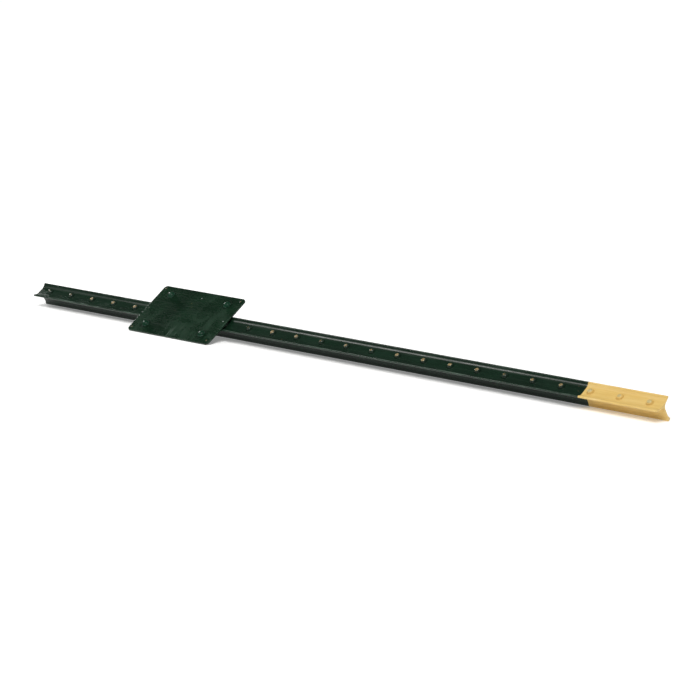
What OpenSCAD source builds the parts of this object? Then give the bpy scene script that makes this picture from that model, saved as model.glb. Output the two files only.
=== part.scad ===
// Studded steel fence post with a riveted anchor plate.
//
// The post is a rolled steel tee: a face with a flat valley between two raised,
// rounded lips, a row of round studs down the valley, and a web with a beaded
// tip behind it. It lies as it comes to rest, with its long axis along X, the
// bottom end at -X and the painted top end at +X. It leans on the beaded tip of
// the web and on the lower long edge of the anchor plate, so the studded face
// looks up and towards -Y.
//
// The section is drawn in its own plane: across the face is the first number,
// and out of the studded face is the second. Zero is the floor of the valley.

/* [Post] */
// Overall length of the post
post_len = 1372; // [900:1:2400]
// Length of the painted top end
tip_len = 146; // [60:1:200]

/* [Face] */
// Width across the studded face
face_w = 35; // [34:0.5:38]
// Width of the flat valley between the lips
valley_w = 12; // [11:0.5:14]
// Height of the rounded lips above the valley
lip_h = 4.2; // [3.6:0.1:4.2]
// Radius of the rounded lips
lip_r = 1.9; // [1.8:0.1:2.2]
// Slope of the back of the face
back_slope = 18; // [15:0.5:18]

/* [Web] */
// Depth from the valley to the end of the web
web_depth = 31.8; // [29:0.2:36]
// Radius of the bead along the web's tip
bead_r = 3.3; // [3:0.1:3.6]
// Thickness of the web where it meets the face
web_root = 4.2; // [3.8:0.1:4.8]
// Thickness of the web beside the bead
web_end = 3; // [2.7:0.1:3.4]
// Radius of the fillets between face and web
root_r = 9; // [7:0.5:9.5]
// Radius of the fillets between web and bead
neck_r = 8; // [4:0.5:9]

/* [Studs] */
// Distance from stud to stud
stud_pitch = 55; // [45:1:70]
// Height of a stud above the valley
stud_h = 4.9; // [4.9:0.1:5.4]
// Width of a stud at the valley
stud_w = 10.8; // [9:0.1:11.4]
// Distance from the top end to the last stud
stud_top = 24; // [15:1:40]
// Least distance from the bottom end to the first stud
stud_bottom = 15; // [10:1:40]

/* [Anchor plate] */
// Length of the plate along the post
plate_len = 195; // [180:1:220]
// Width of the plate across the post
plate_w = 115; // [108:1:130]
// Thickness of the plate
plate_t = 3; // [2:0.1:4]
// Radius of the plate's corners
plate_r = 7; // [3:0.5:12]
// Distance from the bottom end to the plate
plate_at = 280; // [150:1:450]
// Width of the small pressed nibs on the plate
nib_w = 3.2; // [2:0.1:4]
// Height of the small pressed nibs on the plate
nib_h = 0.9; // [0.5:0.1:1.2]

/* [Rivets] */
// Spacing of the rivets along the post
rivet_along = 135; // [120:1:145]
// Spacing of the rivets across the post
rivet_across = 75; // [72:1:84]
// Width of the domed head
head_w = 14.5; // [12:0.5:16]
// Height of the domed head
head_h = 5; // [3.5:0.1:6]
// Diameter of the shank
shank_d = 8; // [6:0.2:9]
// Width of the closed end behind the plate
tail_w = 12.4; // [11:0.2:13]
// Height of the closed end behind the plate
tail_h = 3.2; // [2.4:0.1:3.6]
// Diameter of the punched rivet holes
hole_d = 8.2; // [8.2:0.1:9.4]

/* [Clamp strips] */
// Length of the two folded strips behind the plate
strip_len = 165; // [155:1:175]
// Thickness of the strips
strip_t = 2; // [1.6:0.1:2]
// Outer edge of the strips, from the middle of the post
strip_edge = 47; // [46:0.5:50]
// Gap between a strip and the edge of the face
strip_gap = 0.5; // [0.4:0.1:0.6]
// Inner radius of the fold beside the plate
fold_r = 1; // [0.8:0.1:1]
// Inner radius of the fold under the face
hook_r = 1; // [0.8:0.1:1.2]
// Inner end of the hook, from the middle of the post
hook_end = 10.8; // [10.6:0.1:12]

/* [Hidden] */
$fn = 48;

half = face_w / 2;
// centre of the rounded lip
lip_c = [half - lip_r, lip_h - lip_r];
// radius of the scoop that runs tangent from the valley floor into the lip
du = lip_c[0] - valley_w / 2;
scoop_r = (du * du + lip_c[1] * lip_c[1] - lip_r * lip_r) / (2 * (lip_r + lip_c[1]));
scoop_c = [valley_w / 2, scoop_r];
// where scoop and lip meet
scoop_dir = (lip_c - scoop_c) / norm(lip_c - scoop_c);
scoop_end = scoop_c + scoop_r * scoop_dir;

// back of the face: a line tangent to the lip that falls towards the web
back_dir = [cos(back_slope), sin(back_slope)];
back_out = [sin(back_slope), -cos(back_slope)];
back_pt = lip_c + lip_r * back_out;

// centre of the bead, and the side of the web as a line between two points
bead_c = [0, -web_depth + bead_r];
side_a = [web_root / 2, -4];
side_b = [web_end / 2, bead_c[1] + bead_r + 1];
side_dir = (side_b - side_a) / norm(side_b - side_a);
side_out = [-side_dir[1], side_dir[0]];

// the point where two lines meet, each given by a point and a direction
function meet(p, d, q, e) =
    let (det = d[0] * e[1] - d[1] * e[0], w = q - p)
    p + d * ((w[0] * e[1] - w[1] * e[0]) / det);
// the foot of the perpendicular from a point to a line
function foot(c, p, d) = p + d * ((c - p) * d);

// root fillet: a circle that touches the back of the face and the web's side
root_c = meet(back_pt + root_r * back_out, back_dir, side_a + root_r * side_out, side_dir);
root_on_face = foot(root_c, back_pt, back_dir);
root_on_web = foot(root_c, side_a, side_dir);

// neck fillet: a circle that touches the web's side and the bead
neck_line = side_a + neck_r * side_out;
neck_foot = foot(bead_c, neck_line, side_dir);
neck_run = sqrt(pow(neck_r + bead_r, 2) - pow(norm(bead_c - neck_foot), 2));
neck_c = neck_foot - neck_run * side_dir;
neck_on_web = foot(neck_c, side_a, side_dir);
neck_on_bead = bead_c + bead_r * (neck_c - bead_c) / norm(neck_c - bead_c);

// studs
stud_n = floor((post_len - stud_top - stud_bottom) / stud_pitch) + 1;
stud_first = post_len - stud_top - (stud_n - 1) * stud_pitch;
stud_r = (stud_w * stud_w / 4 + stud_h * stud_h) / (2 * stud_h);

// the plate bears on the crowns of the studs
plate_back = stud_h;
plate_mid = plate_at + plate_len / 2;
nib_r = (nib_w * nib_w / 4 + nib_h * nib_h) / (2 * nib_h);
head_r = (head_w * head_w / 4 + head_h * head_h) / (2 * head_h);
tail_r = (tail_w * tail_w / 4 + tail_h * tail_h) / (2 * tail_h);

// how the post comes to rest: the bead and the plate's lower back edge touch
rest_u = plate_w / 2;
rest_v = plate_back - bead_c[1];
roll = acos(-bead_r / norm([rest_u, rest_v])) - atan2(rest_u, rest_v);
rest_z = bead_r - bead_c[1] * cos(roll);
low_y = -rest_u * cos(roll) - (plate_back + plate_t) * sin(roll);
high_y = rest_u * cos(roll) - plate_back * sin(roll);
rest_y = -(low_y + high_y) / 2;

// the section's own frame, put where the post lies
module lying() {
    translate([-post_len / 2, rest_y, rest_z]) rotate([roll, 0, 0]) children();
}

// an outline in the section's plane, run along the post from a to b
module run(a, b) {
    translate([a, 0, 0]) rotate([90, 0, 90]) linear_extrude(height = b - a) children();
}

module half_section() {
    difference() {
        polygon([[0, 0], [valley_w / 2, 0], scoop_end, lip_c, back_pt,
                 root_on_face, root_on_web, neck_on_web, neck_on_bead, bead_c]);
        translate(scoop_c) circle(r = scoop_r);
        translate(root_c) circle(r = root_r);
        translate(neck_c) circle(r = neck_r);
    }
    translate(lip_c) circle(r = lip_r);
}

module section() {
    half_section();
    mirror([1, 0]) half_section();
    translate(bead_c) circle(r = bead_r);
}

// one round stud: the part of a ball that stands above the valley
module stud(at) {
    translate([at, 0, stud_h - stud_r]) sphere(r = stud_r);
}

module length_of_post(a, b) {
    run(a, b) section();
    for (i = [0 : stud_n - 1])
        let (at = stud_first + i * stud_pitch)
        if (at >= a && at < b) stud(at);
}

module post() {
    color("darkgreen") lying() length_of_post(0, post_len - tip_len);
    color("khaki") lying() length_of_post(post_len - tip_len, post_len);
}

// rivet places on the plate, from its middle
module at_rivet(sx, sy) {
    translate([plate_mid + sx * rivet_along / 2, sy * rivet_across / 2, plate_back]) children();
}

module nib(x, y) {
    translate([plate_mid + x, y, plate_back + plate_t + nib_h - nib_r]) sphere(r = nib_r);
}

module anchor_plate() {
    color("darkgreen") lying() {
        difference() {
            translate([plate_mid, 0, plate_back]) linear_extrude(height = plate_t) {
                square([plate_len, plate_w - 2 * plate_r], center = true);
                square([plate_len - 2 * plate_r, plate_w], center = true);
                for (sx = [-1, 1], sy = [-1, 1])
                    translate([sx * (plate_len / 2 - plate_r), sy * (plate_w / 2 - plate_r)])
                        circle(r = plate_r);
            }
            for (sx = [-1, 1], sy = [-1, 1])
                at_rivet(sx, sy) translate([0, 0, -1]) cylinder(d = hole_d, h = plate_t + 2);
        }
        for (s = [-1, 1]) {
            nib(s * (plate_len / 2 - 7.5), 7 + plate_w / 2 - 14.5);
            nib(s * (plate_len / 2 - 7.5), -7 - plate_w / 2 + 14.5);
            nib(s * (plate_len / 2 - 7), 0);
            nib(5, s * (plate_w / 2 - 15.5));
        }
    }
}

// a folded strip: flat under the plate, down past the edge of the face, and
// hooked in flush against the back of the face
leg = half + strip_gap;
fold_c = [leg + strip_t + fold_r, plate_back - strip_t - fold_r];
hook_c = [leg - hook_r,
          back_pt[1] + (leg - hook_r - back_pt[0]) * tan(back_slope) + hook_r / cos(back_slope)];
hook_top = foot(hook_c, back_pt, back_dir);

module strip_section() {
    fold_out = fold_r + strip_t;
    hook_out = hook_r + strip_t;
    // the hook's end, cut square across the face
    end_top = meet(back_pt, back_dir, [hook_end, 0], [0, 1]);
    end_low = meet(back_pt + strip_t * back_out, back_dir, [hook_end, 0], [0, 1]);
    difference() {
        union() {
            polygon([[strip_edge, plate_back], [fold_c[0], plate_back], [leg, fold_c[1]],
                     hook_c + [hook_r, 0], hook_top, end_top, end_low,
                     hook_c + hook_out * back_out, hook_c + [hook_out, 0],
                     fold_c - [fold_r, 0], fold_c + [0, fold_r],
                     [strip_edge, plate_back - strip_t]]);
            // outside of the fold beside the plate
            intersection() {
                translate(fold_c) circle(r = fold_out);
                translate(fold_c - [fold_out + 1, 0]) square(fold_out + 1);
            }
            // outside of the fold under the face
            intersection() {
                translate(hook_c) circle(r = hook_out);
                polygon([hook_c, hook_c + [10, 0], hook_c + [10, -10], hook_c + 10 * back_out]);
            }
        }
        translate(fold_c) circle(r = fold_r);
        translate(hook_c) circle(r = hook_r);
    }
}

module clamp_strip() {
    difference() {
        run(plate_mid - strip_len / 2, plate_mid + strip_len / 2) strip_section();
        for (sx = [-1, 1])
            at_rivet(sx, 1) translate([0, 0, -strip_t - 1]) cylinder(d = hole_d, h = strip_t + 2);
    }
}

module clamp_strip_upper() {
    color("darkgreen") lying() clamp_strip();
}

module clamp_strip_lower() {
    color("darkgreen") lying() mirror([0, 1, 0]) clamp_strip();
}

// a rivet: domed head on the plate, shank, and closed end behind the strip
module rivet(sx, sy) {
    color("darkgreen") lying() at_rivet(sx, sy) {
        translate([0, 0, plate_t]) intersection() {
            translate([0, 0, head_h - head_r]) sphere(r = head_r);
            cylinder(d = head_w + 4, h = head_h + 1);
        }
        translate([0, 0, -strip_t - 0.5]) cylinder(d = shank_d, h = strip_t + plate_t + 1);
        translate([0, 0, -strip_t]) mirror([0, 0, 1]) intersection() {
            translate([0, 0, tail_h - tail_r]) sphere(r = tail_r);
            cylinder(d = tail_w + 4, h = tail_h + 1);
        }
    }
}

module rivet_bottom_lower() { rivet(-1, -1); }
module rivet_bottom_upper() { rivet(-1, 1); }
module rivet_top_lower() { rivet(1, -1); }
module rivet_top_upper() { rivet(1, 1); }

post();
anchor_plate();
clamp_strip_lower();
clamp_strip_upper();
rivet_bottom_lower();
rivet_bottom_upper();
rivet_top_lower();
rivet_top_upper();
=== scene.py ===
import math

import bmesh
import bpy
import numpy as np
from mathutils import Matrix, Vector, noise
from mathutils.geometry import delaunay_2d_cdt


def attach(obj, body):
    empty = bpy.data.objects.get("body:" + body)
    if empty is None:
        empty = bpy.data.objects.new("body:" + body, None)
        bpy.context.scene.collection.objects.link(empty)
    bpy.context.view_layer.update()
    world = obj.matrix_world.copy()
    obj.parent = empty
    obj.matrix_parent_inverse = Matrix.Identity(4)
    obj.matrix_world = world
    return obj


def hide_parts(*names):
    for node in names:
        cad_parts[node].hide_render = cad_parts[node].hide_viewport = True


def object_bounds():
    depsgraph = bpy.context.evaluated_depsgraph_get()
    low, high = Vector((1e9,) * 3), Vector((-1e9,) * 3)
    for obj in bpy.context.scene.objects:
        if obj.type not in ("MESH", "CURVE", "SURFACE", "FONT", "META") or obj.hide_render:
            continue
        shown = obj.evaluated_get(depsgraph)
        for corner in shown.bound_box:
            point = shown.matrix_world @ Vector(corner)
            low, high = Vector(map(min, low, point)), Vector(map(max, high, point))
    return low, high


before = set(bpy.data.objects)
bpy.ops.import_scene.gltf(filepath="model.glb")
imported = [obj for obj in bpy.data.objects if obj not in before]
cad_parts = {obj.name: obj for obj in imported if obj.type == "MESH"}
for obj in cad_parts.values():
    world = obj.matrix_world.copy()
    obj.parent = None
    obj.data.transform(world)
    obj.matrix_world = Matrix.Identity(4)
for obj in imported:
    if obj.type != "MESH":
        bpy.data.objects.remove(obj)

cad_box = [list(c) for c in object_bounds()]
scene = bpy.context.scene
scene.view_settings.view_transform = "Standard"
scene.view_settings.look = "None"

# ---------------------------------------------------------------- dimensions
# The same numbers as the CAD, in millimetres. s runs along the post from its
# bottom end, y across the face and v out of the studded face.
LENGTH = 1372.0
TIP = 146.0
HALF, VALLEY, LIP_H, LIP_R, BACK = 17.5, 6.0, 4.2, 1.9, math.radians(18)
DEPTH, BEAD_R, WEB_ROOT, WEB_END, ROOT_R, NECK_R = 31.8, 3.3, 4.2, 3.0, 9.0, 8.0
STUD_H, STUD_W, PITCH, FIRST, STUDS = 4.9, 10.8, 55.0, 28.0, 25
PLATE_L, PLATE_W, PLATE_T, PLATE_R, PLATE_AT = 195.0, 115.0, 3.0, 7.0, 280.0
RIVET_A, RIVET_B, HEAD_W, HEAD_H, SHANK, TAIL_W, TAIL_H, HOLE = 135.0, 75.0, 14.5, 5.0, 8.0, 12.4, 3.2, 8.2
STRIP_L, STRIP_T, STRIP_EDGE, GAP, FOLD_R, HOOK_R, HOOK_END = 165.0, 2.0, 47.0, 0.5, 1.0, 1.0, 10.8
PLATE_MID = PLATE_AT + PLATE_L / 2

BEAD = np.array([0.0, -DEPTH + BEAD_R])
ROLL = math.acos(-BEAD_R / math.hypot(PLATE_W / 2, STUD_H - BEAD[1])) - math.atan2(PLATE_W / 2, STUD_H - BEAD[1])
REST_Z = BEAD_R - BEAD[1] * math.cos(ROLL)
LOW_Y = -PLATE_W / 2 * math.cos(ROLL) - (STUD_H + PLATE_T) * math.sin(ROLL)
HIGH_Y = PLATE_W / 2 * math.cos(ROLL) - STUD_H * math.sin(ROLL)
REST_Y = -(LOW_Y + HIGH_Y) / 2


def to_row(p):
    """Points (s, y, v) in millimetres to the row frame in metres."""
    p = np.asarray(p, float)
    c, k = math.cos(ROLL), math.sin(ROLL)
    return np.stack([p[:, 0] - LENGTH / 2,
                     REST_Y + p[:, 1] * c - p[:, 2] * k,
                     REST_Z + p[:, 1] * k + p[:, 2] * c], 1) / 1000


def n3(x, y=0.0, z=0.0):
    return noise.noise(Vector((x, y, z)))


def rand(k):
    """A fixed value from 0 to 1 for a whole number."""
    x = math.sin(k * 12.9898 + 4.1414) * 43758.5453
    return x - math.floor(x)


def smooth(a, b, x):
    t = np.clip((np.asarray(x, float) - a) / (b - a), 0, 1)
    return t * t * (3 - 2 * t)


def make(name, verts, faces, attrs=None, flat=()):
    """A closed mesh object from points (s, y, v) in millimetres. Points that no face uses are dropped."""
    verts = np.asarray(verts, float)
    used = np.zeros(len(verts), bool)
    for f in faces:
        used[list(f)] = True
    new = np.cumsum(used) - 1
    co = to_row(verts[used])
    mesh = bpy.data.meshes.new(name)
    mesh.from_pydata(co.tolist(), [], [[int(new[i]) for i in f] for f in faces])
    for key, values in (attrs or {}).items():
        a = mesh.attributes.new(key, "FLOAT", "POINT")
        a.data.foreach_set("value", np.asarray(values, float)[used].astype(np.float32))
    bm = bmesh.new()
    bm.from_mesh(mesh)
    bmesh.ops.recalc_face_normals(bm, faces=bm.faces)
    if bm.calc_volume(signed=True) < 0:
        bmesh.ops.reverse_faces(bm, faces=bm.faces)
    open_edges = sum(not e.is_manifold for e in bm.edges)
    bm.to_mesh(mesh)
    bm.free()
    mesh.polygons.foreach_set("use_smooth", [True] * len(mesh.polygons))
    mesh.update()
    obj = bpy.data.objects.new(name, mesh)
    scene.collection.objects.link(obj)
    tris = sum(len(p.vertices) - 2 for p in mesh.polygons)
    print("piece", name, "tris", tris, "open edges", open_edges)
    return obj


# ---------------------------------------------------------------- the section
def arc(c, r, a, b, n):
    """n points after the first along an arc, angles in degrees."""
    t = np.radians(np.linspace(a, b, n + 1)[1:])
    return [(c[0] + r * math.cos(x), c[1] + r * math.sin(x)) for x in t]


def line(a, b, n):
    return [tuple(np.array(a) + (np.array(b) - a) * k / n) for k in range(1, n + 1)]


def angle(c, p):
    return math.degrees(math.atan2(p[1] - c[1], p[0] - c[0]))


def meet(p, d, q, e):
    det = d[0] * e[1] - d[1] * e[0]
    w = np.array(q) - p
    return np.array(p) + np.array(d) * ((w[0] * e[1] - w[1] * e[0]) / det)


def foot(c, p, d):
    return np.array(p) + np.array(d) * np.dot(np.array(c) - p, d)


lip_c = np.array([HALF - LIP_R, LIP_H - LIP_R])
du = lip_c[0] - VALLEY
scoop_r = (du * du + lip_c[1] ** 2 - LIP_R ** 2) / (2 * (LIP_R + lip_c[1]))
scoop_c = np.array([VALLEY, scoop_r])
scoop_end = scoop_c + scoop_r * (lip_c - scoop_c) / np.linalg.norm(lip_c - scoop_c)
back_dir = np.array([math.cos(BACK), math.sin(BACK)])
back_out = np.array([math.sin(BACK), -math.cos(BACK)])
back_pt = lip_c + LIP_R * back_out
side_a = np.array([WEB_ROOT / 2, -4.0])
side_b = np.array([WEB_END / 2, BEAD[1] + BEAD_R + 1])
side_dir = (side_b - side_a) / np.linalg.norm(side_b - side_a)
side_out = np.array([-side_dir[1], side_dir[0]])
root_c = meet(back_pt + ROOT_R * back_out, back_dir, side_a + ROOT_R * side_out, side_dir)
root_on_face, root_on_web = foot(root_c, back_pt, back_dir), foot(root_c, side_a, side_dir)
neck_line = side_a + NECK_R * side_out
neck_foot = foot(BEAD, neck_line, side_dir)
neck_c = neck_foot - math.sqrt((NECK_R + BEAD_R) ** 2 - np.linalg.norm(BEAD - neck_foot) ** 2) * side_dir
neck_on_web = foot(neck_c, side_a, side_dir)
neck_on_bead = BEAD + BEAD_R * (neck_c - BEAD) / np.linalg.norm(neck_c - BEAD)

PATCH = 7.5   # half side of the square of valley that holds a stud
CELLS = 8     # cells along that side


def section():
    """Points round the section, the valley first, and for each how much it is a rubbed ridge and a sheltered hollow."""
    y0 = PATCH
    v0 = scoop_r - math.sqrt(scoop_r ** 2 - (y0 - VALLEY) ** 2)
    half = []
    half += [(p, 0.05, 0.3) for p in arc(scoop_c, scoop_r, angle(scoop_c, (y0, v0)), angle(scoop_c, scoop_end), 7)]
    lips = arc(lip_c, LIP_R, angle(lip_c, scoop_end), angle(lip_c, back_pt), 14)
    for p in lips:
        a = angle(lip_c, p)
        half.append((p, float(math.exp(-((a - 70) / 45) ** 2)), 0.0))
    half += [(p, 0.0, 0.3) for p in line(back_pt, root_on_face, 5)]
    fillet = arc(root_c, ROOT_R, angle(root_c, root_on_face), angle(root_c, root_on_web), 10)
    half += [(p, 0.0, 0.3 + 0.7 * math.sin(math.pi * (k + 1) / 10)) for k, p in enumerate(fillet)]
    half += [(p, 0.0, 0.2) for p in line(root_on_web, neck_on_web, 6)]
    a = angle(neck_c, neck_on_web) % 360
    half += [(p, 0.0, 0.35) for p in arc(neck_c, NECK_R, a, angle(neck_c, neck_on_bead) % 360, 5)]
    half += [(p, float(smooth(40, -60, angle(BEAD, p))), 0.0) for p in arc(BEAD, BEAD_R, angle(BEAD, neck_on_bead), -90, 9)]
    valley = []
    for y in np.linspace(-PATCH, PATCH, CELLS + 1):
        over = max(abs(y) - VALLEY, 0)
        valley.append(((float(y), scoop_r - math.sqrt(scoop_r ** 2 - over ** 2)), 0.0, 0.15))
    left = [((-p[0], p[1]), r, c) for p, r, c in half[:-1]][::-1]
    return valley + half + left


def outward(points):
    """Unit normals out of a closed outline."""
    p = np.array(points)
    t = np.roll(p, -1, 0) - np.roll(p, 1, 0)
    n = np.stack([t[:, 1], -t[:, 0]], 1)
    n /= np.linalg.norm(n, axis=1)[:, None]
    area = 0.5 * np.sum(p[:, 0] * np.roll(p[:, 1], -1) - np.roll(p[:, 0], -1) * p[:, 1])
    return n if area > 0 else -n


# ---------------------------------------------------------------- the post
def stud_rings():
    """(radius, height) of the rings from the valley to the crown of a stud."""
    R = (STUD_W ** 2 / 4 + STUD_H ** 2) / (2 * STUD_H)
    c = STUD_H - R
    f = 1.0
    rf = math.sqrt((R + f) ** 2 - (f - c) ** 2)
    a_on = math.degrees(math.atan2(f - c, rf))
    rings = [(7.0, 0.0), (rf, 0.0)]
    for a in np.linspace(-90, -180 + a_on, 5)[1:-1]:
        rings.append((rf + f * math.cos(math.radians(a)), f + f * math.sin(math.radians(a))))
    for a in list(np.linspace(a_on, 72, 7)) + [78, 83, 87]:
        rings.append((R * math.cos(math.radians(a)), c + R * math.sin(math.radians(a))))
    return rings


def build_post():
    sec = section()
    prof = np.array([p for p, _, _ in sec])
    ridge = np.array([r for _, r, _ in sec])
    hollow = np.array([c for _, _, c in sec])
    normal = outward(prof)
    NP = len(prof)

    studs = [FIRST + PITCH * k for k in range(STUDS)]
    edge = [0.0, 0.12, 0.42, 1.1]
    marks = set(np.round(edge, 4)) | set(np.round([LENGTH - e for e in edge], 4))
    patch = {}
    last = 1.1
    join = LENGTH - TIP
    for k, c in enumerate(studs):
        a, b = c - PATCH, c + PATCH
        n = max(2, int(round((a - last) / 5.6)))
        marks |= set(np.round(np.linspace(last, a, n + 1), 4))
        marks |= set(np.round(np.linspace(a, b, CELLS + 1), 4))
        last = b
    marks |= set(np.round(np.linspace(last, LENGTH - 1.1, 4), 4))
    marks = {m for m in marks if not (join - 2.4 < m < join + 2.4 and m > 1200)}
    marks |= {join - 2.2, join - 0.5, join, join + 0.35, join + 1.2, join + 2.3}
    st = sorted(marks)
    st = [s for n, s in enumerate(st) if n == 0 or s - st[n - 1] > 1e-3]
    NS = len(st)
    index = {round(s, 3): n for n, s in enumerate(st)}

    # surface: long shallow waves from the mill, always a little inside the nominal form
    P = np.zeros((NS, NP, 3))
    for i, s in enumerate(st):
        coat = 0.07 * float(smooth(join - 0.2, join + 0.3, s)) + 0.06 * math.exp(-((s - join - 0.5) / 0.7) ** 2)
        for j in range(NP):
            y, v = prof[j]
            wave = 0.5 + 0.5 * n3(s / 70.0, j * 0.13, 3.1) + 0.09 * n3(s / 17.0, j * 0.21, 7.7)
            d = -0.14 * wave * (0.5 + ridge[j]) - 0.10 + coat
            inset = 0.0
            e = min(s, LENGTH - s)
            if e < 1.0:
                inset = {0.0: 0.50, 0.12: 0.16, 0.42: 0.0}[min((0.0, 0.12, 0.42), key=lambda q: abs(q - e))]
                inset += 0.05 * n3(j * 0.31, s * 0.01, 2.0) if e < 0.3 else 0
            yy, vv = prof[j] + normal[j] * (d - inset)
            ss = s
            if e < 0.3:
                # a ragged lip where the shear left the steel
                rag = 0.10 * (1 + n3(j * 0.45, 9.0, s * 0.003))
                ss = s + rag if s < 1 else s - rag
            P[i, j] = (ss, yy, vv)
    verts = P.reshape(-1, 3).tolist()
    att = {"ridge": np.tile(ridge, NS).tolist(), "hollow": np.tile(hollow, NS).tolist(),
           "tip": [0.0] * (NS * NP), "rnd": [0.5] * (NS * NP), "ring": [0.0] * (NS * NP)}

    def vid(i, j):
        return i * NP + j % NP

    skip = set()
    for k, c in enumerate(studs):
        i0 = index[round(c - PATCH, 3)]
        for i in range(i0, i0 + CELLS):
            for j in range(CELLS):
                skip.add((i, j))
    faces = []
    for i in range(NS - 1):
        for j in range(NP):
            if (i, j) not in skip:
                faces.append((vid(i, j), vid(i, j + 1), vid(i + 1, j + 1), vid(i + 1, j)))

    # studs: each square of valley becomes rings that close on a crown
    rings = stud_rings()
    M = 4 * CELLS
    for k, c in enumerate(studs):
        i0 = index[round(c - PATCH, 3)]
        square = ([vid(i0 + q, 0) for q in range(CELLS)] + [vid(i0 + CELLS, q) for q in range(CELLS)]
                  + [vid(i0 + CELLS - q, CELLS) for q in range(CELLS)] + [vid(i0, CELLS - q) for q in range(CELLS)])
        under = PLATE_AT - 8 < c < PLATE_AT + PLATE_L + 8
        floor_v = float(np.mean([verts[q][2] for q in square])) - 0.03
        r1, r2, r3 = rand(k * 3 + 1), rand(k * 3 + 2), rand(k * 3 + 3)
        flat_at = 10.0 if under else STUD_H - 0.22 - 0.35 * r1
        lean_s, lean_y = (0, 0) if under else (0.10 * (r2 - 0.5), 0.10 * (r3 - 0.5))
        angles = [math.atan2(verts[q][1], verts[q][0] - c) for q in square]
        prev = square
        # half way between the square and the first circle
        mid = []
        for q, a in enumerate(angles):
            sx, sy, sv = verts[square[q]]
            cx, cy = c + 7.0 * math.cos(a), 7.0 * math.sin(a)
            mid.append(len(verts))
            verts.append([(sx + cx) / 2, (sy + cy) / 2, (sv + floor_v) / 2])
            for key, val in (("ridge", 0), ("hollow", 0.2), ("tip", 0), ("rnd", r1), ("ring", 0.2)):
                att[key].append(val)
        for q in range(M):
            faces.append((prev[q], prev[(q + 1) % M], mid[(q + 1) % M], mid[q]))
        prev = mid
        for n, (r, h) in enumerate(rings):
            cur = []
            for q in range(M):
                even = 2 * math.pi * q / M + angles[0]
                # from the square's own angles to even spacing
                a0 = angles[q]
                while a0 - even > math.pi:
                    a0 -= 2 * math.pi
                while a0 - even < -math.pi:
                    a0 += 2 * math.pi
                w = min(n / 4, 1)
                a = a0 * (1 - w) + even * w
                bump = 1 + 0.018 * n3(math.cos(a) * 1.3 + k, math.sin(a) * 1.3, h * 0.4 + k * 0.7) if h > 0.2 else 1
                rr = r * bump
                x, y = rr * math.cos(a), rr * math.sin(a)
                hh = h * (STUD_H - 0.02 - floor_v) / STUD_H
                if h > 0.2:
                    soft = flat_at + 0.06 * n3(x * 0.8, y * 0.8, k * 1.7)
                    hh = hh if hh < soft - 0.5 else soft - 0.5 + 0.5 * math.tanh((hh - soft + 0.5) / 0.5) if not under else hh
                    x += lean_s * h
                    y += lean_y * h
                cur.append(len(verts))
                verts.append([c + x, y, floor_v + hh])
                t = float(smooth(0.35, 1.0, h / STUD_H))
                around = math.exp(-((r - 5.9) / 0.8) ** 2)
                for key, val in (("ridge", 0), ("hollow", 0.2 + 0.8 * around), ("tip", t), ("rnd", r1), ("ring", around)):
                    att[key].append(val)
            for q in range(M):
                faces.append((prev[q], prev[(q + 1) % M], cur[(q + 1) % M], cur[q]))
            prev = cur
        top = np.mean([verts[q] for q in prev], 0)
        verts.append([float(top[0]), float(top[1]), float(top[2]) + 0.004])
        for key, val in (("ridge", 0), ("hollow", 0.2), ("tip", 1), ("rnd", r1), ("ring", 0)):
            att[key].append(val)
        for q in range(M):
            faces.append((prev[q], prev[(q + 1) % M], len(verts) - 1))

    # ends: one more ring inside the cut, then a filled face
    for i, s_face in ((0, 0.0), (NS - 1, LENGTH)):
        base = [vid(i, j) for j in range(NP)]
        flat = []
        sign = 1 if i == 0 else -1
        for j in range(NP):
            yy, vv = prof[j] - normal[j] * 0.92
            flat.append(len(verts))
            verts.append([s_face + sign * 0.10, float(yy), float(vv)])
            for key, val in (("ridge", 0.25), ("hollow", 0.1), ("tip", 0), ("rnd", 0.5), ("ring", 0)):
                att[key].append(val)
        for j in range(NP):
            q = (j + 1) % NP
            faces.append((base[j], base[q], flat[q], flat[j]))
        ring2d = [Vector((verts[q][1], verts[q][2])) for q in flat]
        out = delaunay_2d_cdt(ring2d, [], [list(range(NP))], 1, 1e-5)
        cv, _, cf, ov = out[0], out[1], out[2], out[3]
        back = {}
        for n, src in enumerate(ov):
            back[n] = flat[src[0]]
        for f in cf:
            faces.append(tuple(back[n] for n in f))
    return make("post_body", verts, faces, att)


# ---------------------------------------------------------------- sheet pieces
def rounded(L, W, r, d, n_long, n_short, n_corner):
    """A rounded rectangle's outline, d inside its edge, always with the same number of points."""
    hx, hy, rr = L / 2 - d, W / 2 - d, max(r - d, 0.02)
    pts = []
    for cx, cy, a0, n, nx, ny in ((1, 1, 0, n_long, -1, 1), (-1, 1, 90, n_short, -1, -1), (-1, -1, 180, n_long, 1, -1), (1, -1, 270, n_short, 1, 1)):
        c = (cx * (hx - rr), cy * (hy - rr))
        corner = [(c[0] + rr * math.cos(math.radians(a0 + 90 * k / n_corner)), c[1] + rr * math.sin(math.radians(a0 + 90 * k / n_corner))) for k in range(n_corner + 1)]
        pts += corner
        nxt = (nx * (hx - rr), ny * (hy - rr))
        a1 = math.radians(a0 + 90)
        end = (nxt[0] + rr * math.cos(a1), nxt[1] + rr * math.sin(a1))
        start = corner[-1]
        pts += [(start[0] + (end[0] - start[0]) * k / n, start[1] + (end[1] - start[1]) * k / n) for k in range(1, n)]
    return pts


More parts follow.
